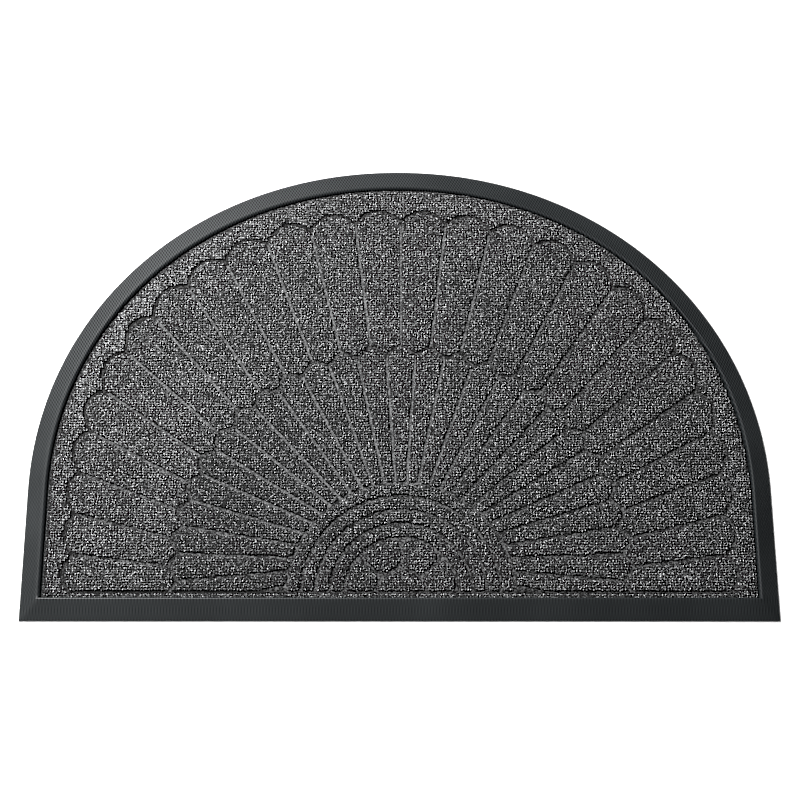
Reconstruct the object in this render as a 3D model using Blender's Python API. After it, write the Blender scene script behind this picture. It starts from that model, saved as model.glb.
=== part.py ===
"""Half-round doormat: a moulded rubber tray and the pressed carpet that lies in it.

Metres, Z up. The mat lies on Z = 0 with its straight front edge towards -Y.
"""

import math

import bmesh
import bpy
from mathutils import Vector

# The mat's outline: a straight front, short straight sides and an arch squarer than a half ellipse.
MAT_WIDTH = 0.700
MAT_DEPTH = 0.450
STRAIGHT_SIDE = 0.121
ARCH_POWER = 2.05
ARC_STEPS = 64

# The rubber tray.
BORDER_WIDTH = 0.020
EDGE_HEIGHT = 0.0016
LIP_HEIGHT = 0.0078
LIP_RADIUS = 0.0016
LIP_STEPS = 4
TRAY_FLOOR = 0.0024

# The carpet sheet, which lies in the tray with a small gap on every side.
FIT_GAP = 0.0003
GROOVE_HEIGHT = 0.0046
PAD_HEIGHT = 0.0070
EDGE_ROUND = 0.0010
WALL_LEAN = 0.0011
GROOVE_WIDTH = 0.0030
FRONT_STRIP = 0.0052

# The fan. Its centre is just behind the tray's front wall, and the inner petals aim at a point behind that.
OUTER_PETALS = 26
FAN_CENTRE = 0.024
INNER_AIM = 0.054
TIP_HALF_WIDTH = 0.3123
TIP_SPRING = 0.1037
TIP_DEPTH_AT_BACK = 0.4057
TIP_ARCH_POWER = 2.166
TIP_SHARE = 0.0331
TIP_STEPS = 12
REACH_ROUNDS = 12
SCALLOP_STEPS = 8
JOIN_CENTRE = 0.0498
JOIN_RADIUS = 0.2116
JOIN_WAVE = 0.0037
JOIN_STEPS = 8
RING_OUTER = 0.1055
RING_PITCH = 0.0131
RINGS = 4
RING_STEPS = 30
FLOWER_RADIUS = 0.0516
FLOWER_POWER = 3.6
FLOWER_STEPS = 18
HUB_RADIUS = 0.022
HUB_STEPS = 10
FLOWER_SPLIT = math.radians(42)

PETAL_PITCH = math.pi / OUTER_PETALS
FRONT_Y = -MAT_DEPTH / 2
FAN_Y = FRONT_Y + FAN_CENTRE
INSET = BORDER_WIDTH + FIT_GAP
PADS_FRONT_Y = FRONT_Y + INSET + FRONT_STRIP + GROOVE_WIDTH * 0.8
SHORTEST_SIDE = 0.0008


def clear_scene():
    for scene_object in list(bpy.data.objects):
        bpy.data.objects.remove(scene_object, do_unlink=True)


def plain_material(name, colour, roughness):
    material = bpy.data.materials.new(name)
    material.use_nodes = True
    shader = material.node_tree.nodes["Principled BSDF"]
    shader.inputs["Base Color"].default_value = (*colour, 1.0)
    shader.inputs["Roughness"].default_value = roughness
    shader.inputs["Metallic"].default_value = 0.0
    material.diffuse_color = (*colour, 1.0)
    return material


def rubber_material():
    return plain_material("rubber", (0.045, 0.050, 0.053), 0.62)


def carpet_material():
    return plain_material("carpet", (0.085, 0.086, 0.090), 0.95)


def squarer_turn(turn, power):
    """The cosine and sine of a turn on a superellipse of this power; 2 gives a circle."""
    return tuple(
        math.copysign(abs(value) ** (2 / power), value)
        for value in (math.cos(turn), math.sin(turn))
    )


def arch_loop(inset):
    """The mat's outline moved inwards by inset, counter-clockwise from its front left corner."""
    half = MAT_WIDTH / 2 - inset
    front = FRONT_Y + inset
    spring = FRONT_Y + STRAIGHT_SIDE
    rise = MAT_DEPTH - STRAIGHT_SIDE - inset
    points = [(-half, front), (half, front)]
    for step in range(ARC_STEPS + 1):
        across, along = squarer_turn(math.pi * step / ARC_STEPS, ARCH_POWER)
        points.append((half * across, spring + rise * along))
    return points


def add_loop(mesh, points, height):
    return [mesh.verts.new((x, y, height)) for x, y in points]


def join_loops(mesh, lower, upper):
    """A wall of quads between two loops with the same number of points."""
    count = len(lower)
    for i in range(count):
        j = (i + 1) % count
        mesh.faces.new((lower[i], lower[j], upper[j], upper[i]))


def loop_edges(mesh, loop):
    edges = []
    for i, corner in enumerate(loop):
        pair = (corner, loop[(i + 1) % len(loop)])
        edges.append(mesh.edges.get(pair) or mesh.edges.new(pair))
    return edges


def fill_between(mesh, loops):
    """A flat face bounded by the first loop, with the other loops as its holes."""
    edges = []
    for loop in loops:
        edges += loop_edges(mesh, loop)
    bmesh.ops.triangle_fill(mesh, edges=edges, use_beauty=True, normal=Vector((0, 0, 1)))


def finish_object(name, mesh, material):
    bmesh.ops.recalc_face_normals(mesh, faces=mesh.faces)
    data = bpy.data.meshes.new(name)
    mesh.to_mesh(data)
    mesh.free()
    data.materials.append(material)
    data.shade_smooth()
    data.set_sharp_from_angle(angle=math.radians(30))
    made = bpy.data.objects.new(name, data)
    bpy.context.collection.objects.link(made)
    return made


def border_profile():
    """Inset and height from the underside's rim, over the slope and the rounded lip, to the tray's floor."""
    slope = math.atan2(LIP_HEIGHT - EDGE_HEIGHT, BORDER_WIDTH)
    profile = [(0.0, 0.0), (0.0, EDGE_HEIGHT)]
    for step in range(LIP_STEPS + 1):
        turn = (math.pi / 2 + slope) * (1 - step / LIP_STEPS)
        inset = BORDER_WIDTH - LIP_RADIUS * (1 - math.cos(turn))
        height = LIP_HEIGHT - LIP_RADIUS * (1 - math.sin(turn))
        profile.append((inset, height))
    profile.append((BORDER_WIDTH, TRAY_FLOOR))
    return profile


def make_base():
    mesh = bmesh.new()
    loops = [add_loop(mesh, arch_loop(inset), height) for inset, height in border_profile()]
    for lower, upper in zip(loops, loops[1:]):
        join_loops(mesh, lower, upper)
    mesh.faces.new(loops[0])
    mesh.faces.new(loops[-1])
    return finish_object("rubber_base", mesh, rubber_material())


def fan_point(radius, angle):
    return (radius * math.cos(angle), FAN_Y + radius * math.sin(angle))


def tip_reach(angle):
    """How far from the fan's centre the scallops reach: to two upright sides and a squarer arch."""
    spring = TIP_SPRING - FAN_CENTRE
    rise = TIP_DEPTH_AT_BACK - TIP_SPRING
    reach = TIP_HALF_WIDTH
    for _ in range(REACH_ROUNDS):
        across = abs(reach * math.cos(angle)) / TIP_HALF_WIDTH
        along = max(reach * math.sin(angle) - spring, 0.0) / rise
        reach /= (across**TIP_ARCH_POWER + along**TIP_ARCH_POWER) ** (1 / TIP_ARCH_POWER)
    return reach


def join_reach(angle):
    """How far from the fan's centre the wavy groove between the two rings of petals lies."""
    shift = JOIN_CENTRE - FAN_CENTRE
    along = shift * math.sin(angle)
    reach = along + math.sqrt(JOIN_RADIUS**2 - shift**2 + along * along)
    return reach + JOIN_WAVE * math.cos(2 * math.pi * angle / PETAL_PITCH)


def cut_at_front(points):
    """The part of a pad that lies behind the groove along the front, without its shortest sides."""
    kept = []
    for i, (x, y) in enumerate(points):
        next_x, next_y = points[(i + 1) % len(points)]
        if y >= PADS_FRONT_Y:
            kept.append((x, y))
        if (y >= PADS_FRONT_Y) != (next_y >= PADS_FRONT_Y):
            share = (PADS_FRONT_Y - y) / (next_y - y)
            kept.append((x + share * (next_x - x), PADS_FRONT_Y))
    spaced = []
    for point in kept:
        if not spaced or math.dist(point, spaced[-1]) > SHORTEST_SIDE:
            spaced.append(point)
    if math.dist(spaced[0], spaced[-1]) <= SHORTEST_SIDE:
        spaced.pop()
    return spaced


def move_sideways(points, distance):
    """A counter-clockwise loop moved to its left by distance: inwards, or outwards if it is negative."""
    moved = []
    count = len(points)
    for i, point in enumerate(points):
        here = Vector(point)
        before = (here - Vector(points[i - 1])).normalized()
        after = (Vector(points[(i + 1) % count]) - here).normalized()
        side = Vector((-before.y - after.y, before.x + after.x)).normalized()
        spread = max(side.dot(Vector((-after.y, after.x))), 0.6)
        moved.append(tuple(here + side * (distance / spread)))
    return moved


def tip_point(axis, share, aside):
    """A point of the parabola round a petal's tip, at a share of its half width, moved off it by aside."""
    angle = axis - share * PETAL_PITCH / 2
    slope = 4 * TIP_SHARE * share / PETAL_PITCH
    reach = tip_reach(angle) * (1 - TIP_SHARE * share * share)
    return fan_point(reach + aside * math.hypot(1, slope), angle)


def outer_petal(number):
    axis = (number + 0.5) * PETAL_PITCH
    widest = 1 - GROOVE_WIDTH / (PETAL_PITCH * tip_reach(axis))
    points = []
    for step in range(TIP_STEPS + 1):
        points.append(tip_point(axis, widest * (1 - 2 * step / TIP_STEPS), -GROOVE_WIDTH / 2))
    for step in range(JOIN_STEPS + 1):
        share = 1 - 2 * step / JOIN_STEPS
        reach = join_reach(axis + share * PETAL_PITCH / 2) + GROOVE_WIDTH / 2
        half_angle = PETAL_PITCH / 2 - GROOVE_WIDTH / 2 / reach
        points.append(fan_point(reach, axis + share * half_angle))
    return cut_at_front(points)


def inner_groove_end(angle):
    """Where the groove that leaves the join at this angle, aimed at the inner fan's centre, ends."""
    start = Vector(fan_point(join_reach(angle), angle))
    way = (Vector((0.0, FRONT_Y + INNER_AIM)) - start).normalized()
    centre = Vector((0.0, FAN_Y))
    gone = (start - centre).dot(way)
    clear = (start - centre).length_squared - (RING_OUTER + GROOVE_WIDTH) ** 2
    return start + way * (-gone - math.sqrt(gone * gone - clear))


def inner_petal(number):
    """A petal centred on an outer groove. Its sides run along the two inner grooves beside it."""
    axis = number * PETAL_PITCH
    right_end = inner_groove_end(axis - PETAL_PITCH / 2)
    left_end = inner_groove_end(axis + PETAL_PITCH / 2)
    points = []
    for step in range(JOIN_STEPS + 1):
        share = 2 * step / JOIN_STEPS - 1
        reach = join_reach(axis + share * PETAL_PITCH / 2) - GROOVE_WIDTH / 2
        half_angle = PETAL_PITCH / 2 - GROOVE_WIDTH / 2 / reach
        points.append(fan_point(reach, axis + share * half_angle))
    middle = (left_end + right_end) / 2
    across = (left_end - right_end) / 2
    half = 1 - GROOVE_WIDTH / 2 / across.length
    inwards = (Vector((0.0, FAN_Y)) - middle).normalized() * GROOVE_WIDTH / 2
    for share in (1.0, 0.6, 0.0, -0.6, -1.0):
        points.append(tuple(middle + across * half * share + inwards * (1 - share * share)))
    return cut_at_front(points)


def ring_pad(number):
    outer = RING_OUTER - number * RING_PITCH - GROOVE_WIDTH / 2
    inner = outer - RING_PITCH + GROOVE_WIDTH
    points = []
    for radius, forwards in ((outer, True), (inner, False)):
        first = math.asin((PADS_FRONT_Y - FAN_Y) / radius)
        for step in range(RING_STEPS + 1):
            share = step / RING_STEPS if forwards else 1 - step / RING_STEPS
            points.append(fan_point(radius, first + share * (math.pi - 2 * first)))
    return points


def flower_petal(low, high):
    """A petal of the middle flower: a rounded patch between two angles, outside the hub."""
    inner = HUB_RADIUS + GROOVE_WIDTH
    points = []
    for step in range(FLOWER_STEPS):
        along, across = squarer_turn(2 * math.pi * step / FLOWER_STEPS, FLOWER_POWER)
        radius = (FLOWER_RADIUS + inner) / 2 + (FLOWER_RADIUS - inner) / 2 * along
        half_angle = (high - low) / 2 - GROOVE_WIDTH / 2 / radius
        points.append(fan_point(radius, (low + high) / 2 + half_angle * across))
    return cut_at_front(points)


def hub_pad():
    first = math.asin((PADS_FRONT_Y - FAN_Y) / HUB_RADIUS)
    step_angle = (math.pi - 2 * first) / HUB_STEPS
    return [fan_point(HUB_RADIUS, first + step_angle * step) for step in range(HUB_STEPS + 1)]


def flower_pads():
    quarter = math.pi / 2
    pads = [hub_pad()]
    for low, high in ((0.0, FLOWER_SPLIT), (FLOWER_SPLIT, quarter)):
        pads.append(flower_petal(low, high))
        pads.append(flower_petal(math.pi - high, math.pi - low))
    return pads


def scallop_loop():
    """The rim band's inner edge: the line round the petals' tips, half a groove out, and the front strip."""
    points = []
    for number in range(OUTER_PETALS):
        axis = (number + 0.5) * PETAL_PITCH
        for step in range(SCALLOP_STEPS):
            points.append(tip_point(axis, 1 - 2 * step / SCALLOP_STEPS, GROOVE_WIDTH / 2))
    front = FRONT_Y + INSET + FRONT_STRIP
    inner = [point for point in points if point[1] > front + SHORTEST_SIDE]
    return [(inner[-1][0], front), (inner[0][0], front), *inner]


def make_carpet():
    mesh = bmesh.new()
    bottom = add_loop(mesh, arch_loop(INSET), TRAY_FLOOR + FIT_GAP)
    shoulder = add_loop(mesh, arch_loop(INSET), PAD_HEIGHT - EDGE_ROUND)
    bevel = add_loop(mesh, arch_loop(INSET + EDGE_ROUND * 0.3), PAD_HEIGHT - EDGE_ROUND * 0.3)
    rim_top = add_loop(mesh, arch_loop(INSET + EDGE_ROUND), PAD_HEIGHT)
    mesh.faces.new(bottom)
    join_loops(mesh, bottom, shoulder)
    join_loops(mesh, shoulder, bevel)
    join_loops(mesh, bevel, rim_top)

    scallops = scallop_loop()
    scallop_foot = add_loop(mesh, scallops, GROOVE_HEIGHT)
    scallop_top = add_loop(mesh, move_sideways(scallops, -WALL_LEAN), PAD_HEIGHT)
    join_loops(mesh, scallop_foot, scallop_top)

    pads = [outer_petal(number) for number in range(OUTER_PETALS)]
    pads += [inner_petal(number) for number in range(OUTER_PETALS + 1)]
    pads += [ring_pad(number) for number in range(RINGS)]
    pads += flower_pads()
    feet = []
    for points in pads:
        foot = add_loop(mesh, points, GROOVE_HEIGHT)
        top = add_loop(mesh, move_sideways(points, WALL_LEAN), PAD_HEIGHT)
        join_loops(mesh, foot, top)
        mesh.faces.new(top)
        feet.append(foot)
    fill_between(mesh, [scallop_foot, *feet])
    fill_between(mesh, [rim_top, scallop_top])
    return finish_object("carpet_inlay", mesh, carpet_material())


def main():
    clear_scene()
    make_base()
    make_carpet()


main()
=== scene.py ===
import math

import bpy
import numpy as np
from mathutils import Matrix, Vector
from mathutils.geometry import delaunay_2d_cdt


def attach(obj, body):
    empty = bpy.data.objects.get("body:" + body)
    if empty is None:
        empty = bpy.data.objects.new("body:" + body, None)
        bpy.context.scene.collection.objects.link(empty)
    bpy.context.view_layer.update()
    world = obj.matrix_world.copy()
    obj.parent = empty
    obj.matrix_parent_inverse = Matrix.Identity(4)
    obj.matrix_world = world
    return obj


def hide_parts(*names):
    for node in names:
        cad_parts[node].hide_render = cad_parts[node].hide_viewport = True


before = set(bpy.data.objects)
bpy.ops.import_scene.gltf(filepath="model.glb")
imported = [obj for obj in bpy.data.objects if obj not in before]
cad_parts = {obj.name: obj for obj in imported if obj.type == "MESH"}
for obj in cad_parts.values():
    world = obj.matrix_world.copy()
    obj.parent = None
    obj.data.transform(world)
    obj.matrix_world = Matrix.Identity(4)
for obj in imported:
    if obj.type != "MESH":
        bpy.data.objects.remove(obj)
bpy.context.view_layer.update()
print("doormat: the packed frame is loaded")

# The mat's outline, as the tray and the carpet share it: a straight front, short upright sides, and an arch
# a little squarer than a half ellipse. Metres, the front edge towards -Y.
outline = dict(
    width=0.700,
    depth=0.450,
    straightSide=0.121,
    archPower=2.05,  # 2 would make it a half ellipse
    frontSteps=150,
    sideSteps=26,
    archSteps=250,
)
frontY = -outline["depth"] / 2


def squarerTurn(turn, power):
    # signed powers 2/power of the cosine and sine: a circle for 2, squarer above it
    c, s = np.cos(turn), np.sin(turn)
    return np.sign(c) * np.abs(c) ** (2 / power), np.sign(s) * np.abs(s) ** (2 / power)


def archLoop(sideInset, frontInset, backInset):
    # once round the mat, inset from its edge: along the front, up the right side, over the arch as half a
    # superellipse, and down the left side
    half = outline["width"] / 2 - sideInset
    front = frontY + frontInset
    spring = frontY + outline["straightSide"]
    rise = outline["depth"] - outline["straightSide"] - backInset
    share = np.arange(outline["frontSteps"]) / outline["frontSteps"]
    edge = np.stack([-half + 2 * half * share, np.full(share.size, front)], axis=-1)
    share = np.arange(outline["sideSteps"]) / outline["sideSteps"]
    right = np.stack([np.full(share.size, half), front + (spring - front) * share], axis=-1)
    across, along = squarerTurn(np.linspace(0, np.pi, outline["archSteps"]), outline["archPower"])
    arch = np.stack([half * across, spring + rise * along], axis=-1)
    left = right[1:][::-1] * [-1, 1]
    return np.concatenate([edge, right, arch[1:-1], [[-half, spring]], left])


def alongStops(values, stops):
    # read off straight lines between stops, each a place and the value there
    return np.interp(values, *zip(*stops))


def newPiece(name, corners, faces, material, smooth=True):
    # a mesh object at the origin, with its place in its mesh
    mesh = bpy.data.meshes.new(name)
    mesh.from_pydata(corners, [], faces)
    mesh.update()
    if smooth:
        mesh.shade_smooth()
    mesh.materials.append(material)
    piece = bpy.data.objects.new(name, mesh)
    bpy.context.scene.collection.objects.link(piece)
    return piece


def putAttribute(piece, name, values):
    # one number for each corner, which the piece's material reads
    piece.data.attributes.new(name, "FLOAT", "POINT").data.foreach_set("value", values.reshape(-1))


def bandFaces(rings, count):
    # the quads between neighbouring rings of count corners each, the ring index growing upwards or inwards
    ring, corner = np.meshgrid(np.arange(rings - 1), np.arange(count), indexing="ij")
    ahead = (corner + 1) % count
    low, high = ring * count, (ring + 1) * count
    return np.stack([low + corner, low + ahead, high + ahead, high + corner], axis=-1).reshape(-1, 4)


class Shade:
    # a short way to write a material's nodes
    def __init__(self, name):
        self.material = bpy.data.materials.new(name)
        self.material.use_nodes = True
        self.nodes = self.material.node_tree.nodes
        self.links = self.material.node_tree.links
        self.surface = self.nodes["Principled BSDF"]
        self.place = self.add("ShaderNodeTexCoord").outputs["Object"]

    def add(self, kind, **settings):
        node = self.nodes.new(kind)
        for setting, value in settings.items():
            setattr(node, setting, value)
        return node

    def join(self, source, target):
        # a socket is linked, a number or a colour is written in
        if hasattr(source, "links"):
            self.links.new(source, target)
        else:
            target.default_value = source

    def math(self, operation, first, second=0.0):
        node = self.add("ShaderNodeMath", operation=operation)
        self.join(first, node.inputs[0])
        self.join(second, node.inputs[1])
        return node.outputs[0]

    def blend(self, shares, first, second):
        # the two values added up, each times its share
        parts = (self.math("MULTIPLY", value, share) for value, share in zip((first, second), shares))
        return self.math("ADD", *parts)

    def attribute(self, name):
        return self.add("ShaderNodeAttribute", attribute_name=name).outputs["Fac"]

    def noise(self, scale, detail, roughness=0.5):
        node = self.add("ShaderNodeTexNoise")
        self.links.new(self.place, node.inputs["Vector"])
        node.inputs["Scale"].default_value = scale
        node.inputs["Detail"].default_value = detail
        node.inputs["Roughness"].default_value = roughness
        return node.outputs["Fac"]

    def cells(self, scale):
        # one random value for each cell, the cells being about 1/scale metres wide
        node = self.add("ShaderNodeTexVoronoi")
        self.links.new(self.place, node.inputs["Vector"])
        node.inputs["Scale"].default_value = scale
        split = self.add("ShaderNodeSeparateColor")
        self.links.new(node.outputs["Color"], split.inputs[0])
        return split.outputs["Red"]

    def between(self, value, low, high, lowest=0.0, highest=1.0):
        # from lowest to highest, as the value goes softly from low to high
        node = self.add("ShaderNodeMapRange", interpolation_type="SMOOTHSTEP")
        self.join(value, node.inputs["Value"])
        for socket, number in zip(("From Min", "From Max", "To Min", "To Max"), (low, high, lowest, highest)):
            node.inputs[socket].default_value = number
        return node.outputs[0]

    def ramp(self, value, stops):
        node = self.add("ShaderNodeValToRGB")
        while len(node.color_ramp.elements) < len(stops):
            node.color_ramp.elements.new(0.5)  # the next lines move it
        for element, (position, colour) in zip(node.color_ramp.elements, stops):
            element.position = position
            element.color = (*colour, 1.0)
        self.join(value, node.inputs["Fac"])
        return node.outputs["Color"]

    def mix(self, share, first, second):
        node = self.add("ShaderNodeMix", data_type="RGBA")
        self.join(share, node.inputs["Factor"])
        for socket, colour in (("A", first), ("B", second)):
            self.join(colour if hasattr(colour, "links") else (*colour, 1.0), node.inputs[socket])
        return node.outputs["Result"]

    def ribs(self, across, along, share):
        # so many ribs a metre across and along: the sine of the place's dot product with them, times a share
        dot = self.add("ShaderNodeVectorMath", operation="DOT_PRODUCT")
        self.links.new(self.place, dot.inputs[0])
        dot.inputs[1].default_value = (2 * math.pi * across, 2 * math.pi * along, 0)
        return self.math("MULTIPLY", self.math("SINE", dot.outputs["Value"]), share)

    def bump(self, height, distance):
        node = self.add("ShaderNodeBump")
        node.inputs["Strength"].default_value = 1.0
        node.inputs["Distance"].default_value = distance
        self.links.new(height, node.inputs["Height"])
        self.links.new(node.outputs["Normal"], self.surface.inputs["Normal"])

    def finish(self, colour, roughness, gloss=0.5):
        # the colour and the two numbers are sockets, or plain values
        self.join(colour, self.surface.inputs["Base Color"])
        self.join(roughness, self.surface.inputs["Roughness"])
        self.join(gloss, self.surface.inputs["Specular IOR Level"])
        return self.material


# The moulded rubber tray: a border that slopes up from a thin edge to a rounded lip, a wall down to the floor
# under the carpet, and a flat underside.
tray = dict(
    borderWidth=0.0189,  # at the sides
    lipRadius=0.0026,  # there and over the arch
    frontWidth=0.0211,  # along the front
    frontLipRadius=0.0015,
    backWidth=0.0209,  # at the top of the arch
    footRound=0.0003,  # cut off the underside's edge
    edgeHeight=0.0016,
    edgeRound=0.0005,
    edgeSink=0.75,  # from the edge's height down to its rounding's middle, as a share of the radius
    edgeSteps=5,
    lipHeight=0.0078,
    lipSteps=14,
    lipShine=0.58,  # the lip's gloss on the sides and the arch, as a share of the border's
    frontShine=((-0.33, 1.80), (-0.15, 1.35), (0.0, 1.05), (0.33, 0.90)),  # and along the front, by X
    slopeSteps=5,
    floor=0.0024,
    sharpAngle=math.radians(38),
    colour=(0.0084, 0.0098, 0.0105),
    roughness=0.47,
    gloss=0.18,
    bloom=(9, 4, 0.6),  # the dusty bloom's noise: scale, detail and roughness
    bloomLightness=1.35,  # of the rubber's colour where it is dusty
    bloomLightens=(0.35, 0.75),  # the noise's values between which it grows lighter
    bloomRoughness=(-0.04, 0.08),  # how far the bloom changes the rubber's roughness
    bloomRoughens=(0.3, 0.8),
    grain=(2400, 2, 0.6),  # the same three for the rubber's fine grain
    imprintDepth=0.00004,
    imprintShares=(0.5, 0.6),  # of the ribs and the grain in that depth
    # painted light and shade along the ribs: how strong it is on the arch, and on the upright sides and the
    # front
    archRibShade=0.46,  # how far the ribs lighten and darken the rubber on the arch
    sideRibShade=0.15,  # and on the upright sides and the front
    ribShadeGrows=(-0.09, 0.05),  # between these places in Y
    twill=((352, 248, 1.0), (356, -165, 0.7)),  # the press cloth's ribs a metre, and their shares
    reed=((352, 40, 1.0), (352, -62, 1.0)),  # and those along the front edge
    reedEnds=(0.018, 0.026),  # between these distances from the front edge
)


def trayProfile(width, radius):
    # insets and heights from the underside up: an arc round the edge, a straight slope, an arc over the lip,
    # and the wall down to the tray's floor
    slope = math.atan2(tray["lipHeight"] - tray["edgeHeight"], width)
    turn = np.linspace(np.pi, np.pi / 2 + slope, tray["edgeSteps"])
    edgeInset = tray["edgeRound"] * (1 + np.cos(turn))
    edgeRise = tray["edgeHeight"] + tray["edgeRound"] * (np.sin(turn) - tray["edgeSink"])
    edge = np.stack([edgeInset, edgeRise], axis=-1)
    turn = np.linspace(np.pi / 2 + slope, 0, tray["lipSteps"] + 1)
    lipInset = width - radius * (1 - np.cos(turn))
    lipRise = tray["lipHeight"] - radius * (1 - np.sin(turn))
    lip = np.stack([lipInset, lipRise], axis=-1)
    share = np.arange(1, tray["slopeSteps"])[:, None] / tray["slopeSteps"]
    side = edge[-1] + share * (lip[0] - edge[-1])
    foot = [(tray["footRound"], 0.0), (0.0, tray["footRound"])]
    return np.concatenate([foot, edge, side, lip, [(width, tray["floor"])]])


def rubberFinish():
    # charcoal rubber with the press cloth's fine ribs, painted shade and light along them, a dusty bloom, and
    # a shine of its own on the lip
    shade = Shade("mouldedRubber")
    split = shade.add("ShaderNodeSeparateXYZ")
    shade.links.new(shade.place, split.inputs[0])
    depthways = split.outputs["Y"]
    twill = shade.math("ADD", *(shade.ribs(*ribs) for ribs in tray["twill"]))
    reed = shade.math("ADD", *(shade.ribs(*ribs) for ribs in tray["reed"]))
    behind = shade.between(depthways, *(frontY + end for end in tray["reedEnds"]))
    cloth = shade.add("ShaderNodeMix", data_type="FLOAT")
    for socket, value in (("Factor", behind), ("A", reed), ("B", twill)):
        shade.links.new(value, cloth.inputs[socket])
    bloom = shade.noise(*tray["bloom"])
    dusty = tuple(tray["bloomLightness"] * c for c in tray["colour"])
    base = shade.mix(shade.between(bloom, *tray["bloomLightens"]), tray["colour"], dusty)
    roughs = (tray["roughness"] + change for change in tray["bloomRoughness"])
    rough = shade.between(bloom, *tray["bloomRoughens"], *roughs)
    # painted shade and light: the ribs' valleys are made darker in colour and their crests lighter, most
    # along the arch; the valleys are less glossy too
    swing = shade.between(depthways, *tray["ribShadeGrows"], tray["sideRibShade"], tray["archRibShade"])
    ribShading = shade.math("ADD", shade.math("MULTIPLY", cloth.outputs[0], swing), 1.0)
    ribShaded = shade.add("ShaderNodeVectorMath", operation="SCALE")
    shade.links.new(base, ribShaded.inputs[0])
    shade.links.new(ribShading, ribShaded.inputs["Scale"])
    gloss = shade.math("MULTIPLY", shade.math("MULTIPLY", ribShading, tray["gloss"]), shade.attribute("shine"))
    grain = shade.noise(*tray["grain"])
    shade.bump(shade.blend(tray["imprintShares"], cloth.outputs[0], grain), tray["imprintDepth"])
    return shade.finish(ribShaded.outputs[0], rough, gloss)


def makeTray():
    # the profile carried round the mat: at each of its steps the outline is drawn, inset by its own amount at
    # the sides, the front and the back
    profile = trayProfile(tray["borderWidth"], tray["lipRadius"])
    front = trayProfile(tray["frontWidth"], tray["frontLipRadius"])
    back = profile[:, 0] * tray["backWidth"] / tray["borderWidth"]
    loops = np.stack([archLoop(*insets) for insets in zip(profile[:, 0], front[:, 0], back)])
    count = loops.shape[1]
    atFront = np.arange(count) < outline["frontSteps"]
    heights = np.where(atFront, front[:, 1:], profile[:, 1:])
    corners = np.column_stack([loops.reshape(-1, 2), heights.reshape(-1)])
    faces = bandFaces(len(profile), count).tolist()
    faces.append(list(range(count))[::-1])
    faces.append(list(range((len(profile) - 1) * count, len(profile) * count)))
    piece = newPiece("rubberTray", corners, faces, rubberFinish())
    piece.data.set_sharp_from_angle(angle=tray["sharpAngle"])
    lip = np.where(atFront, alongStops(loops[0, :, 0], tray["frontShine"]), tray["lipShine"])
    onLip = np.arange(len(profile)) >= len(profile) - tray["lipSteps"] - 1
    putAttribute(piece, "shine", np.where(onLip[:, None], lip, 1.0))
    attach(piece, "root")
    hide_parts("rubber_base")
    return piece


rubberTray = makeTray()
print("doormat: rubber tray", len(rubberTray.data.polygons), "faces")

# The pressed fan, about a centre just behind the tray's front wall. Depths are from the mat's front edge.
fan = dict(
    outerPetals=26,
    centre=0.024,
    innerAim=0.054,  # the depth of the point that the inner petals' grooves aim at
    grooveWidth=0.0031,
    stripBack=0.0245,  # the depth of the back of the plain strip along the front
    stripGroove=0.8,  # the width of the groove behind it, as a share of the others'
    tipEnds=(-0.0010, 0.0021),  # from the tips' line: where the petals end, and where the rim band begins
    tipHalfWidth=0.3123,
    tipSpring=0.1037,
    tipDepthAtBack=0.4057,
    tipArchPower=2.166,
    tipRounds=12,  # how often the tips' line is corrected
    tipShare=0.0331,  # a tip's height as a share of the petals' reach
    tipClear=0.0008,  # the scallops start this far behind the strip
    joinCentre=0.0498,
    joinRadius=0.2116,
    joinWave=0.0037,
    ringOuter=0.1055,
    ringPitch=0.0131,
    rings=4,
    flowerRadius=0.0516,
    flowerPower=3.6,
    flowerEdges=np.radians([0, 42, 90, 138, 180]),  # the angles that part the flower's petals
    hubRadius=0.022,
    # corners on each line before it is spaced evenly
    corners=dict(tip=60, scallop=30, join=24, innerEnd=13, ring=120, flower=72, hub=40),
)
fanY = frontY + fan["centre"]
pitch = math.pi / fan["outerPetals"]
groove = fan["grooveWidth"]
stripBackY = frontY + fan["stripBack"]
padsFrontY = stripBackY + groove * fan["stripGroove"]


def fanPoint(radius, angle):
    # the place at a radius and an angle about the fan's centre
    return np.stack([radius * np.cos(angle), fanY + radius * np.sin(angle)], axis=-1)


def fanPlace(points):
    # the radius and the angle of places about the fan's centre
    fromFan = points - [0, fanY]
    return np.hypot(*fromFan.T), np.arctan2(fromFan[:, 1], fromFan[:, 0])


def tipReach(angle):
    # how far the scallops reach: to two upright sides and the squarer arch over them. The reach is divided by
    # its place's superellipse value again and again, until that is 1
    spring = fan["tipSpring"] - fan["centre"]
    rise = fan["tipDepthAtBack"] - fan["tipSpring"]
    power = fan["tipArchPower"]
    reach = np.full(np.shape(angle), fan["tipHalfWidth"])
    for _ in range(fan["tipRounds"]):
        across = np.abs(reach * np.cos(angle)) / fan["tipHalfWidth"]
        along = np.maximum(reach * np.sin(angle) - spring, 0) / rise
        reach = reach / (across**power + along**power) ** (1 / power)
    return reach


def joinReach(angle):
    # how far away the groove between the two rows of petals is: a circle about a point behind the fan's
    # centre, and on it a cosine wave, one for each petal
    shift = fan["joinCentre"] - fan["centre"]
    along = shift * np.sin(angle)
    circle = along + np.sqrt(fan["joinRadius"] ** 2 - shift**2 + along**2)
    return circle + fan["joinWave"] * np.cos(2 * np.pi * angle / pitch)


def tipPoint(axis, share, aside):
    # a parabola over the petal's width, which leans with the arch, moved off its line by aside
    angle = axis - share * pitch / 2
    slope = 4 * fan["tipShare"] * share / pitch
    return fanPoint(tipReach(angle) * (1 - fan["tipShare"] * share**2) + aside * np.hypot(1, slope), angle)


def joinSide(axis, outwards):
    # the wavy end that a petal shares with the join's groove, from one side groove to the other
    share = np.linspace(-1, 1, fan["corners"]["join"])
    reach = joinReach(axis + share * pitch / 2) + outwards * groove / 2
    return fanPoint(reach, axis + share * (pitch / 2 - groove / 2 / reach))


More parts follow.
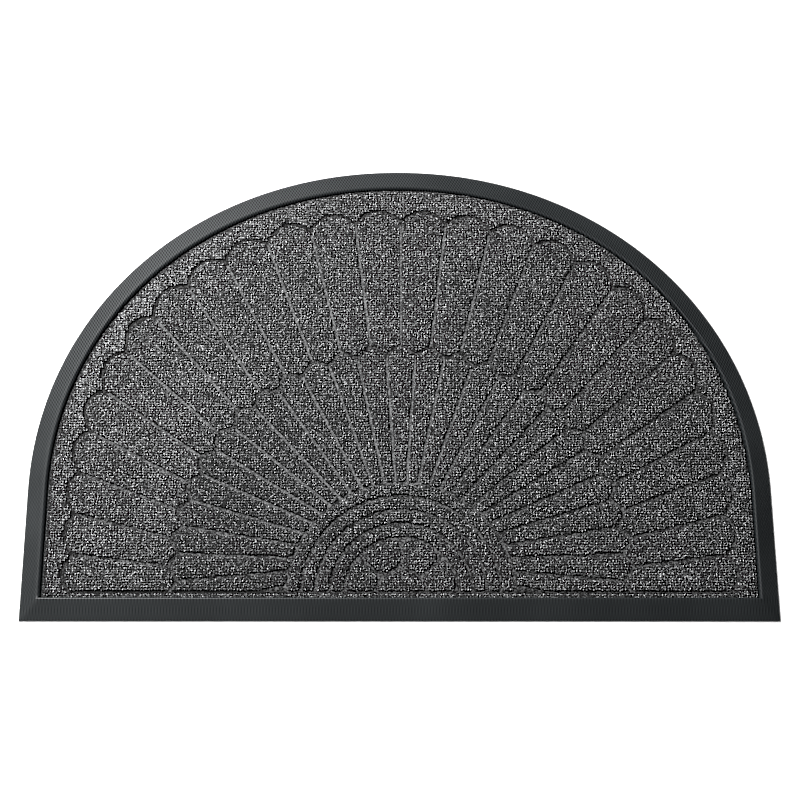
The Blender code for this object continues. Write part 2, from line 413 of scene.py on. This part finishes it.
def cutAtFront(loop):
    # the part of a closed loop that lies behind the groove along the front
    ahead = np.roll(loop, -1, axis=0)
    kept = loop[:, 1] >= padsFrontY
    crosses = kept != (ahead[:, 1] >= padsFrontY)
    run = np.where(crosses, ahead[:, 1] - loop[:, 1], 1.0)
    cut = loop + ((padsFrontY - loop[:, 1]) / run)[:, None] * (ahead - loop)
    both = np.stack([loop, cut], axis=1).reshape(-1, 2)
    return both[np.stack([kept, crosses], axis=1).reshape(-1)]


def evenLoop(loop, step):
    # the same closed loop with its corners spaced evenly along it
    closed = np.vstack([loop, loop[:1]])
    along = np.concatenate([[0], np.cumsum(np.hypot(*np.diff(closed, axis=0).T))])
    at = np.linspace(0, along[-1], round(along[-1] / step), endpoint=False)
    return np.stack([np.interp(at, along, closed[:, 0]), np.interp(at, along, closed[:, 1])], axis=-1)


def outerPetal(number):
    # the tip's parabola, and back along the join; the straight sides follow between them
    axis = (number + 0.5) * pitch
    widest = 1 - groove / (pitch * float(tipReach(axis)))
    share = np.linspace(widest, -widest, fan["corners"]["tip"])
    return cutAtFront(np.vstack([tipPoint(axis, share, fan["tipEnds"][0]), joinSide(axis, 1)[::-1]]))


def innerGrooveEnd(angle):
    # where the groove that starts at the join and aims at the inner petals' own centre meets the rings: where
    # a line crosses a circle
    start = fanPoint(joinReach(angle), angle)
    way = np.array([0.0, frontY + fan["innerAim"]]) - start
    way = way / np.hypot(*way)
    gap = start - [0.0, fanY]
    gone = gap @ way
    return start + way * (-gone - math.sqrt(gone**2 - gap @ gap + (fan["ringOuter"] + groove) ** 2))


def innerPetal(number):
    # the join's wavy side, and at the rings a parabola that bulges inwards by half a groove
    axis = number * pitch
    rightEnd, leftEnd = innerGrooveEnd(axis - pitch / 2), innerGrooveEnd(axis + pitch / 2)
    middle, across = (leftEnd + rightEnd) / 2, (leftEnd - rightEnd) / 2
    inwards = np.array([0.0, fanY]) - middle
    inwards = inwards / np.hypot(*inwards) * groove / 2
    share = np.linspace(1, -1, fan["corners"]["innerEnd"])[:, None]
    end = middle + across * share * (1 - groove / 2 / np.hypot(*across)) + inwards * (1 - share**2)
    return cutAtFront(np.vstack([joinSide(axis, -1), end]))


def overStrip(radius, count):
    # an arc about the fan's centre, from the groove behind the strip over to the same groove again
    first = math.asin((padsFrontY - fanY) / radius)
    return fanPoint(radius, np.linspace(first, np.pi - first, count))


def ringPad(number):
    # two arcs, the outer one and back along the inner one
    outer = fan["ringOuter"] - number * fan["ringPitch"] - groove / 2
    inner = outer - fan["ringPitch"] + groove
    count = fan["corners"]["ring"]
    return np.vstack([overStrip(outer, count), overStrip(inner, count)[::-1]])


def flowerPetal(low, high):
    # a superellipse in radius and angle, outside the hub
    inner = fan["hubRadius"] + groove
    turn = np.linspace(0, 2 * np.pi, fan["corners"]["flower"], endpoint=False)
    along, across = squarerTurn(turn, fan["flowerPower"])
    radius = (fan["flowerRadius"] + inner) / 2 + (fan["flowerRadius"] - inner) / 2 * along
    return cutAtFront(fanPoint(radius, (low + high) / 2 + across * ((high - low) / 2 - groove / 2 / radius)))


def scallopLoop():
    # the rim band's inner edge: the line round the petals' tips, a little further out, and the strip's back
    share = np.linspace(1, -1, fan["corners"]["scallop"])[:-1]
    axes = (np.arange(fan["outerPetals"]) + 0.5) * pitch
    tips = np.vstack([tipPoint(axis, share, fan["tipEnds"][1]) for axis in axes])
    tips = tips[tips[:, 1] > stripBackY + fan["tipClear"]]
    return np.vstack([[(tips[-1, 0], stripBackY), (tips[0, 0], stripBackY)], tips])


def insideDistance(points, loop):
    # distance to the loop's nearest side, positive inside it: each point against each side, in blocks. A
    # point is inside where a line from it to the right crosses the loop an odd number of times
    mostPairs = 4_000_000  # points times sides in a block
    start, end = loop, np.roll(loop, -1, axis=0)
    side = end - start
    length2 = np.maximum((side**2).sum(-1), 1e-16)  # never 0, also where two corners coincide
    found = []
    for block in np.array_split(points, len(points) * len(loop) // mostPairs + 1):
        gap = block[:, None] - start
        share = np.clip((gap * side).sum(-1) / length2, 0, 1)
        nearest = np.sqrt(((gap - share[..., None] * side) ** 2).sum(-1).min(1))
        y = block[:, 1:2]
        straddles = (start[:, 1] > y) != (end[:, 1] > y)
        run = np.where(end[:, 1] == start[:, 1], 1.0, end[:, 1] - start[:, 1])
        crossing = start[:, 0] + (y - start[:, 1]) / run * side[:, 0]
        inside = (straddles & (block[:, 0:1] < crossing)).sum(1) % 2 == 1
        found.append(np.where(inside, nearest, -nearest))
    return np.concatenate(found)


# The carpet as one pressed sheet: pads under the loops, and between them the grooves where the yarn is fused.
# Its greys carry painted light and shade.
carpet = dict(
    sideInset=0.0203,  # from the mat's sides to the carpet's
    wallGap=0.0003,  # from the tray's wall to the carpet, at the front and at the top of the arch
    bottom=0.0027,
    grooveHeight=0.0041,
    padHeight=0.0060,
    wallInsets=(-0.0006, 0.0, 0.0003, 0.0006, 0.0010, 0.0015),  # from a pad's foot inwards
    wallRises=(0.0, 0.0, 0.35, 0.70, 0.92, 1.0),  # as a share of the pad's height over the groove
    edgeInsets=(0.0004, 0.0014, 0.0026, 0.0040),  # from the carpet's edge at the tray's lip
    edgeRises=(0.0, 0.30, 0.75, 1.0),
    keptShare=0.93,  # a wall's corner stays where it is this share of its inset away from the foot
    step=0.0020,
    weld=1e-7,  # corners nearer to each other than this are made one
    fusedInsets=(-0.0006, -0.0001, 0.0003),  # the fused yarn's grey ends just before a pad's foot
    fusedShares=(1.0, 0.25, 0.0),
    fusedAtEdge=0.3,
    # painted light and shade: how light the fused yarn is made, by the groove's angle in the fan in degrees,
    # lighter where the lamps' light runs along a groove and darker where it crosses it: beside the petals,
    # round their tips, and at the join
    fusedAndLitByAngle=((0, 0.34), (55, 0.42), (78, 1.0), (142, 1.0), (158, 0.62), (172, 0.42)),
    tipsLitByAngle=((26, 0.34), (42, 0.12), (75, 0.08), (110, 0.02)),
    joinLitByAngle=((40, 0.40), (75, 0.22), (140, 0.26)),
    fusedInRings=0.40,
    # in grooves' widths: where the tips' share ends, where the join's ends, and how far the rings' goes
    tipsWithin=(1.3, 2.2),
    joinWithin=(0.6, 1.5),
    ringsWithin=0.6,
    fusedCell=880,  # flecks a metre
    clouding=(620, 2, 0.6),  # a noise's scale, detail and roughness
    mingleShares=(0.6, 0.4),  # of the flecks and the clouding
    mingleSpread=(0.17, 0.80),  # their values that are spread over the greys
    fusedGreys=((0.0, 0.006), (0.5, 0.045), (1.0, 0.185)),
    fusedTint=(1.0, 1.01, 1.025),
    fusedEven=(0.066, 0.0666, 0.0676),  # what the flecks run into where the yarn is fused most
    evenFrom=0.45,  # how far the yarn is fused where they start to
    evenShare=0.45,
    # painted shade: a groove fused least takes these near-black greys, and under the loops and on the walls
    # the sheet is painted deep shade
    grooveShadeGreys=((0.0, 0.003), (0.5, 0.008), (1.0, 0.040)),  # of a groove's yarn that isn't fused
    deepShadeBelow=0.02,  # fused less than this, it takes on the colour of the walls
    deepShadeColour=(0.011, 0.0111, 0.0112),
    roughness=0.8,
    gloss=0.04,
    bumpDepth=0.0003,
)
padGroups = dict(
    outer=[outerPetal(number) for number in range(fan["outerPetals"])],
    inner=[innerPetal(number) for number in range(fan["outerPetals"] + 1)],
    rings=[ringPad(number) for number in range(fan["rings"])],
    hub=[overStrip(fan["hubRadius"], fan["corners"]["hub"])],
    flower=[flowerPetal(low, high) for low, high in zip(fan["flowerEdges"], fan["flowerEdges"][1:])],
)
allPads = [loop for loops in padGroups.values() for loop in loops]
scallops = scallopLoop()
rimEdge = archLoop(
    carpet["sideInset"], tray["frontWidth"] + carpet["wallGap"], tray["backWidth"] + carpet["wallGap"]
)


def overGroove(rise):
    # the height at a share of the way from the grooves up to the pads
    return carpet["grooveHeight"] + (carpet["padHeight"] - carpet["grooveHeight"]) * rise


def wallHeight(inside):
    # the pad's height at a distance inside its foot: a soft step from the groove up to the pad
    return overGroove(np.interp(inside, carpet["wallInsets"], carpet["wallRises"]))


def edgeHeight(inside):
    # the carpet's edge beside the tray's lip: pressed down there, and up to the full height further in
    return overGroove(np.interp(inside, carpet["edgeInsets"], carpet["edgeRises"]))


def loopSides(loop):
    # each corner's direction to the left of the way round, which is inwards on a counter-clockwise loop
    way = np.roll(loop, -1, axis=0) - np.roll(loop, 1, axis=0)
    way = way / np.hypot(*way.T)[:, None]
    return np.stack([-way[:, 1], way[:, 0]], axis=-1)


def wallRings(loop, insets, direction=1):
    # the loop carried inwards by each inset; corners that fold over where it is tight are dropped
    side = loopSides(loop) * direction
    rings = []
    for inset in insets:
        ring = loop + side * inset
        away = np.sign(inset) * direction * insideDistance(ring, loop)
        rings.append(ring[away > carpet["keptShare"] * abs(inset)])
    return np.vstack(rings)


def pressedFinish():
    # yarn pressed flat and fused in the grooves: the loops' greys run into one. Where a groove is fused
    # little it is painted dark as shade, and under the loops the sheet is painted deep shade
    shade = Shade("pressedYarn")
    pressed = shade.attribute("pressed")
    cloud = shade.noise(*carpet["clouding"])
    mingle = shade.blend(carpet["mingleShares"], shade.cells(carpet["fusedCell"]), cloud)
    mingle = shade.between(mingle, *carpet["mingleSpread"])
    tint = np.array(carpet["fusedTint"])
    fusedStops = [(place, tuple(grey * tint)) for place, grey in carpet["fusedGreys"]]
    even = shade.math("MULTIPLY", shade.between(pressed, carpet["evenFrom"], 1.0), carpet["evenShare"])
    fused = shade.mix(even, shade.ramp(mingle, fusedStops), carpet["fusedEven"])
    grooveShade = shade.ramp(mingle, [(place, (grey, grey, grey)) for place, grey in carpet["grooveShadeGreys"]])
    # painted shade: deep shade under the loops and up the walls, the dark greys where a groove is fused a
    # little
    under = shade.mix(shade.between(pressed, 0.0, carpet["deepShadeBelow"]), carpet["deepShadeColour"], grooveShade)
    shade.bump(cloud, carpet["bumpDepth"])
    return shade.finish(shade.mix(pressed, under, fused), carpet["roughness"], carpet["gloss"])


def fusedAndLitShare(points):
    # how far the groove at a place is fused to a light grey: by its angle, which paints light and shade into
    # the grooves, and by how near the tips, the join and the rings are
    fromTips = insideDistance(points, scallops)
    radius, angle = fanPlace(points)
    tables = (carpet[name] for name in ("fusedAndLitByAngle", "tipsLitByAngle", "joinLitByAngle"))
    beside, atTips, atJoin = (alongStops(np.degrees(angle), table) for table in tables)
    awayFromTips = np.interp(fromTips, [end * groove for end in carpet["tipsWithin"]], (0, 1))
    share = atTips + (beside - atTips) * awayFromTips
    fromJoin = np.abs(radius - joinReach(angle))
    nearJoin = np.interp(fromJoin, [end * groove for end in carpet["joinWithin"]], (1, 0))
    share = share + (atJoin - share) * nearJoin
    return np.where(radius < fan["ringOuter"] + carpet["ringsWithin"] * groove, carpet["fusedInRings"], share)


def pressedTop(edge):
    # every wall's foot is kept as a line, the rings up the walls lie between, and Delaunay's triangles join
    # them; a corner's height follows from how far inside its foot it is
    insets = [inset for inset in carpet["wallInsets"] if inset]
    feet = [(edge, wallRings(edge, carpet["edgeInsets"]), edgeHeight, 1)]
    for foot, direction in [(pad, 1) for pad in allPads] + [(scallops, -1)]:
        loop = evenLoop(foot, carpet["step"])
        feet.append((loop, wallRings(loop, insets, direction), wallHeight, direction))
    flat, height, inside, lines = [], [], [], []
    placed = 0
    for loop, rings, heightOf, direction in feet:
        depth = np.concatenate([np.zeros(len(loop)), direction * insideDistance(rings, loop)])
        flat += [loop, rings]
        height.append(heightOf(depth))
        inside.append(depth)
        corner = np.arange(len(loop))
        lines.append(np.stack([corner, np.roll(corner, -1)], axis=-1) + placed)
        placed += len(depth)
    flat = np.vstack(flat)
    lines = np.vstack(lines).tolist()
    made = delaunay_2d_cdt([Vector(place) for place in flat.tolist()], lines, [], 0, carpet["weld"], True)
    triangles, origins = made[2:4]
    source = np.array([origin[0] for origin in origins])
    rim = np.empty(len(flat), int)
    rim[source] = np.arange(len(source))
    top = np.column_stack([flat[source], np.concatenate(height)[source]])
    return top, triangles, np.concatenate(inside)[source], rim[: len(edge)]


def makeSheet():
    # the pressed top, a side wall down from its rim, and a flat underside
    edge = evenLoop(rimEdge, carpet["step"])
    top, triangles, inside, rim = pressedTop(edge)
    under = np.column_stack([edge, np.full(len(edge), carpet["bottom"])])
    low = np.arange(len(edge)) + len(top)
    wall = np.stack([low, np.roll(low, -1), np.roll(rim, -1), rim], axis=-1)
    faces = [list(face) for face in triangles] + wall.tolist() + [low[::-1].tolist()]
    piece = newPiece("carpetSheet", np.vstack([top, under]), faces, pressedFinish())
    fromEdge = insideDistance(top[:, :2], rimEdge)
    fused = np.interp(inside, carpet["fusedInsets"], carpet["fusedShares"]) * fusedAndLitShare(top[:, :2])
    fused = np.where(fromEdge < carpet["edgeInsets"][1], carpet["fusedAtEdge"], fused)
    putAttribute(piece, "pressed", np.concatenate([fused, np.ones(len(edge))]))
    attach(piece, "root")
    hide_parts("carpet_inlay")
    return piece


carpetSheet = makeSheet()
print("doormat: carpet sheet", len(carpetSheet.data.polygons), "faces")

# The loop pile: rows of two-ply loops, one ply dark and one light, each ply a short closed bead. Beside the
# grooves the loops are pressed low.
pile = dict(
    acrossPitch=0.00276,
    alongPitch=0.00240,
    jitter=(0.00016, 0.00026),
    edgeMargin=0.0007,  # loops nearer than this to the carpet's edge are moved in to it
    footMargin=0.0008,  # loops nearer than this to a pad's foot are moved up to it
    pressedWithin=0.0022,  # the loops this near to a foot are pressed a little
    plyGap=0.00062,  # a ply's middle from the loop's
    plyLength=0.00120,  # half of it
    plyWidth=0.00066,  # half of it
    plyHeight=0.00125,
    plySizes=(0.82, 1.18),  # the smallest and the largest share of those three
    sunk=0.0003,  # how deep the plies' feet are in the sheet
    lean=math.radians(72),  # the plies' usual turn from +X
    leanSpread=math.radians(16),
    plySpread=0.25,  # radians, by which each ply is turned off its loop
    pressedHeight=0.75,  # of a loop at the foot, as a share of the usual height
    darkTones=(0.0, 0.5),
    lightTones=(0.5, 1.0),
    toneSpread=0.12,  # from corner to corner
    pressedTone=0.50,  # the tone that pressed loops draw towards
    pressedMix=0.15,
    # how much lighter the loops are made, by the angle in the fan in degrees: on the rim band, on the outer
    # petals, on the inner petals and rings, and beside the lip. On the rim band and the outer petals this is
    # painted light, most at the upper left;
    # the inner petals and rings grow darker towards the left; beside the lip it is the lip's painted shadow
    rimLitTones=((0, 0.0), (60, 0.03), (100, 0.08), (137, 0.34), (165, 0.12), (180, 0.06)),
    petalLitTones=((0, -0.05), (60, -0.05), (100, 0.02), (140, 0.07), (180, 0.05)),
    innerTones=((0, -0.05), (80, -0.02), (110, -0.03), (135, -0.09), (180, -0.16)),
    lipShadowTones=((50, 0.0), (90, -0.70), (150, -0.90), (180, -0.40)),
    lipShadowWithin=(0.0016, 0.0032),
    heatherCell=1200,  # fibre flecks a metre
    toneShares=(0.35, 0.65),  # of a loop's own tone and of the flecks
    clouds=(45, 2),  # a noise's scale and detail
    cloudSpread=(0.25, 0.75),
    cloudSwing=0.022,  # how far the yarn's grey drifts over a few centimetres
    yarnStops=(
        (0.28, (0.008, 0.0081, 0.0082)),
        (0.46, (0.038, 0.0384, 0.0390)),
        (0.60, (0.142, 0.1434, 0.146)),
        (0.74, (0.400, 0.404, 0.410)),
        (0.90, (0.800, 0.808, 0.818)),
    ),
    roughness=0.9,
    gloss=0.04,
    seed=20,
)
rng = np.random.default_rng(pile["seed"])


def loopPlaces():
    # columns and rows of places over the whole mat, each place moved a little
    halfWidth, halfDepth = outline["width"] / 2, outline["depth"] / 2
    across = np.arange(-halfWidth, halfWidth, pile["acrossPitch"])
    along = np.arange(-halfDepth, halfDepth, pile["alongPitch"])
    places = np.stack(np.meshgrid(across, along), axis=-1).reshape(-1, 2)
    return places + rng.normal(0, pile["jitter"], places.shape)


def insideAny(places, loops):
    # how far each place is inside the loop it lies in, looked for in its neighbourhood alone; 0 outside all
    inside = np.zeros(len(places))
    for loop in loops:
        near = np.flatnonzero(((places > loop.min(0)) & (places < loop.max(0))).all(1))
        inside[near] = np.maximum(inside[near], insideDistance(places[near], loop))
    return inside


def insidePads(places):
    # whether each place is on the rim band, and how far it is from the foot of its own pad or band
    fromScallops = -insideDistance(places, scallops)
    return fromScallops > 0, np.where(fromScallops > 0, fromScallops, insideAny(places, allPads))


def moveInside(places, inside, margin, distanceOf):
    # places nearer than the margin are moved straight away from the line beside them, along the slope of
    # their distance from it
    probe = 0.00005
    near = np.flatnonzero(inside < margin)
    slope = [distanceOf(places[near] + move) - inside[near] for move in ((probe, 0), (0, probe))]
    places[near] += np.stack(slope, axis=-1) / probe * (margin - inside[near])[:, None]
    inside[near] = margin


def standingPlaces():
    # the places of the loops that stand on the carpet, how far they are from its edge, whether they are on
    # the rim band, and how far they are inside their own foot
    places = loopPlaces()
    fromEdge = insideDistance(places, rimEdge)
    places, fromEdge = places[fromEdge > 0], fromEdge[fromEdge > 0]
    moveInside(places, fromEdge, pile["edgeMargin"], lambda moved: insideDistance(moved, rimEdge))
    inRim, inside = insidePads(places)
    stands = inside > 0
    places, fromEdge, inRim, inside = (values[stands] for values in (places, fromEdge, inRim, inside))
    moveInside(places, inside, pile["footMargin"], lambda moved: insidePads(moved)[1])
    return places, fromEdge, inRim, inside


# a ply: four corners at its foot, and two along its back
plyShape = np.array([(0.85, -0.8), (0.85, 0.8), (-0.85, 0.8), (-0.85, -0.8), (0.5, 0), (-0.5, 0)])
plyRise = np.array([0, 0, 0, 0, 1.0, 1.0])
plyFaces = np.array([(0, 1, 4), (1, 2, 5), (1, 5, 4), (2, 3, 5), (3, 0, 4), (3, 4, 5), (0, 2, 1), (0, 3, 2)])


def loopFinish():
    # heathered yarn: each corner's own tone and its fibres' flecks pick the grey, from black to nearly white
    shade = Shade("loopYarn")
    both = shade.blend(pile["toneShares"], shade.attribute("tone"), shade.cells(pile["heatherCell"]))
    swing = pile["cloudSwing"]
    cloud = shade.between(shade.noise(*pile["clouds"]), *pile["cloudSpread"], -swing, swing)
    colour = shade.ramp(shade.math("ADD", both, cloud), pile["yarnStops"])
    return shade.finish(colour, pile["roughness"], pile["gloss"])


def plyTones(count):
    # a dark and a light ply for each loop, either one first, and each corner a little off its ply
    dark, light = rng.uniform(*pile["darkTones"], count), rng.uniform(*pile["lightTones"], count)
    swap = rng.random(count) < 0.5
    ply = np.concatenate([np.where(swap, dark, light), np.where(swap, light, dark)])
    return ply[:, None] + rng.normal(0, pile["toneSpread"], (2 * count, len(plyShape)))


def makePile(name, places, height, press, lighter, material):
    # both plies of every loop as one joined mesh: the ply's shape, times its own length, width and height, is
    # turned and moved to its side of the loop's place
    count = len(places)
    turn = pile["lean"] + rng.normal(0, pile["leanSpread"], count)
    side = np.stack([-np.sin(turn), np.cos(turn)], axis=-1) * pile["plyGap"]
    middle = np.concatenate([places + side, places - side])
    turn = np.concatenate([turn, turn]) + rng.normal(0, pile["plySpread"], 2 * count)
    press = np.tile(press, 2)[:, None]
    size = rng.uniform(*pile["plySizes"], (2 * count, 3))
    u = plyShape[:, 0] * pile["plyLength"] * size[:, :1]
    v = plyShape[:, 1] * pile["plyWidth"] * size[:, 1:2]
    x = middle[:, :1] + u * np.cos(turn)[:, None] - v * np.sin(turn)[:, None]
    y = middle[:, 1:] + u * np.sin(turn)[:, None] + v * np.cos(turn)[:, None]
    rise = pile["plyHeight"] * size[:, 2:] * (1 - press * (1 - pile["pressedHeight"]))
    z = np.tile(height, 2)[:, None] - pile["sunk"] + plyRise * rise
    corners = np.stack([x, y, z], axis=-1).reshape(-1, 3)
    faces = (np.arange(2 * count)[:, None, None] * len(plyShape) + plyFaces).reshape(-1, 3)
    piece = newPiece(name, corners, faces.tolist(), material)
    tone = plyTones(count)
    tone = tone + (pile["pressedTone"] - tone) * press * pile["pressedMix"] + np.tile(lighter, 2)[:, None]
    putAttribute(piece, "tone", np.clip(tone, 0, 1))
    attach(piece, "root")
    print("doormat:", name, count, "loops,", len(faces), "faces")
    return piece


def loopTones(angle, fromEdge, inRim, outer):
    # how much lighter or darker each loop is made: its part's table, read at its angle, and nearer the lip
    # the lip's painted shadow
    tables = (pile[name] for name in ("innerTones", "petalLitTones", "rimLitTones", "lipShadowTones"))
    inner, petal, rim, edge = (alongStops(np.degrees(angle), table) for table in tables)
    lighter = np.where(inRim, rim, np.where(outer, petal, inner))
    return lighter + (edge - lighter) * np.interp(fromEdge, pile["lipShadowWithin"], (1, 0))


def makeAllPile():
    # the loops are parted by the scallops, the join between the rows of petals, the rings and the middle line
    places, fromEdge, inRim, inside = standingPlaces()
    press = np.interp(inside, (pile["footMargin"], pile["pressedWithin"]), (1, 0))
    height = np.where(inRim, np.minimum(edgeHeight(fromEdge), wallHeight(inside)), wallHeight(inside))
    radius, angle = fanPlace(places)
    inRings = ~inRim & (radius < fan["ringOuter"])
    inner = ~inRim & ~inRings & (radius < joinReach(angle))
    outer = ~inRim & ~inRings & ~inner
    left = places[:, 0] < 0
    lighter = loopTones(angle, fromEdge, inRim, outer)
    parts = dict(
        pileOuterLeft=outer & left,
        pileOuterRight=outer & ~left,
        pileInnerLeft=inner & left,
        pileInnerRight=inner & ~left,
        pileRings=inRings,
        pileRim=inRim,
    )
    material = loopFinish()
    pieces = []
    for name, chosen in parts.items():
        own = (values[chosen] for values in (places, height, press, lighter))
        pieces.append(makePile(name, *own, material))
    return pieces


pilePieces = makeAllPile()

# The floor, the lights and the camera.
studio = dict(
    floorSize=6.0,
    floorColour=(0.95, 0.95, 0.95),
    floorPatches=(1.5, 3),  # a noise's scale and detail
    patchSpread=(0.3, 0.7),
    patchShade=0.985,  # of the floor's colour
    floorRoughness=0.85,
    world=(0.06, (1.0, 1.0, 1.0)),  # strength and colour
    lampSize=0.80,
    lamps=(
        # name, place, power
        ("key", (-0.582, 0.582, 1.133), 35.0),
        ("left", (-0.805, 0.171, 1.133), 17.0),
        ("lowKey", (-0.584, 0.899, 0.900), 20.0),
        ("fill", (-0.800, -0.900, 1.200), 4.0),
        ("top", (0.0, -0.400, 1.500), 2.5),
    ),
    sharpen=0.048,
    floorBrightness=0.85,  # what is brighter than this is floor, and isn't sharpened
    clearPixels=2,  # nor is what lies this near to it
)
lens = dict(
    distance=1.4,
    tilt=math.radians(16.355),
    pan=math.radians(1.090),
    roll=math.radians(0.174),
    target=(-0.00066, -0.01286, 0.0),
    focalPixels=1458.0,
    imagePixels=800,
    sensorWidth=36.0,
    clip=(0.05, 20),
)


def makeFloor():
    # one pale square, hardly uneven in colour
    shade = Shade("paleFloor")
    patch = shade.between(shade.noise(*studio["floorPatches"]), *studio["patchSpread"])
    low = tuple(studio["patchShade"] * c for c in studio["floorColour"])
    material = shade.finish(shade.mix(patch, low, studio["floorColour"]), studio["floorRoughness"])
    half = studio["floorSize"] / 2
    corners = [(-half, -half, 0), (half, -half, 0), (half, half, 0), (-half, half, 0)]
    floor = newPiece("floor", corners, [(0, 1, 2, 3)], material, smooth=False)


def makeLights():
    # soft square lamps that face the mat's middle, mostly from the upper left, in a faint even light
    world = bpy.data.worlds.new("studio")
    world.use_nodes = True
    strength, colour = studio["world"]
    world.node_tree.nodes["Background"].inputs["Color"].default_value = (*colour, 1.0)
    world.node_tree.nodes["Background"].inputs["Strength"].default_value = strength
    bpy.context.scene.world = world
    for name, place, power in studio["lamps"]:
        data = bpy.data.lights.new(name, "AREA")
        data.shape, data.size = "SQUARE", studio["lampSize"]
        data.energy = power
        lamp = bpy.data.objects.new(name, data)
        lamp.location = place
        lamp.rotation_euler = (-Vector(place)).to_track_quat("-Z", "Y").to_euler()
        bpy.context.scene.collection.objects.link(lamp)


def makeCamera():
    # fitted to the mat's outline in the photo: tilted from straight down, then panned and rolled a little
    c, s = math.cos(lens["tilt"]), math.sin(lens["tilt"])
    ahead, right, up = Vector((0, s, -c)), Vector((1, 0, 0)), Vector((0, c, s))
    c, s = math.cos(lens["pan"]), math.sin(lens["pan"])
    ahead, right = c * ahead + s * right, c * right - s * ahead
    place = Vector(lens["target"]) - lens["distance"] * ahead
    c, s = math.cos(lens["roll"]), math.sin(lens["roll"])
    right, up = c * right + s * up, c * up - s * right
    data = bpy.data.cameras.new("camera")
    data.sensor_width = lens["sensorWidth"]
    data.lens = lens["focalPixels"] / lens["imagePixels"] * lens["sensorWidth"]
    data.clip_start, data.clip_end = lens["clip"]
    camera = bpy.data.objects.new("camera", data)
    turn = Matrix((right, up, -ahead)).transposed().to_4x4()
    camera.matrix_world = Matrix.Translation(place) @ turn
    bpy.context.scene.collection.objects.link(camera)
    bpy.context.scene.camera = camera


def makeFinish():
    # the photo was sharpened a little: so is the picture, but not on the white floor or right beside it
    scene = bpy.context.scene
    scene.use_nodes = True
    nodes, links = scene.node_tree.nodes, scene.node_tree.links
    nodes.clear()
    layers = nodes.new("CompositorNodeRLayers")
    crisp = nodes.new("CompositorNodeFilter")
    crisp.filter_type = "SHARPEN"
    crisp.inputs["Fac"].default_value = studio["sharpen"]
    grey = nodes.new("CompositorNodeRGBToBW")
    bright = nodes.new("CompositorNodeMath")
    bright.operation = "GREATER_THAN"
    bright.inputs[1].default_value = studio["floorBrightness"]
    wide = nodes.new("CompositorNodeDilateErode")
    wide.distance = studio["clearPixels"]
    pick = nodes.new("CompositorNodeMixRGB")
    picture = nodes.new("CompositorNodeComposite")
    links.new(layers.outputs["Image"], crisp.inputs["Image"])
    links.new(layers.outputs["Image"], grey.inputs[0])
    links.new(grey.outputs[0], bright.inputs[0])
    links.new(bright.outputs[0], wide.inputs[0])
    links.new(wide.outputs[0], pick.inputs[0])
    links.new(crisp.outputs[0], pick.inputs[1])
    links.new(layers.outputs["Image"], pick.inputs[2])
    links.new(pick.outputs[0], picture.inputs["Image"])


makeFloor()
makeLights()
makeCamera()
makeFinish()
bpy.context.scene.view_settings.view_transform = "Standard"
print("doormat: floor, lights and camera are set")

bpy.context.view_layer.update()
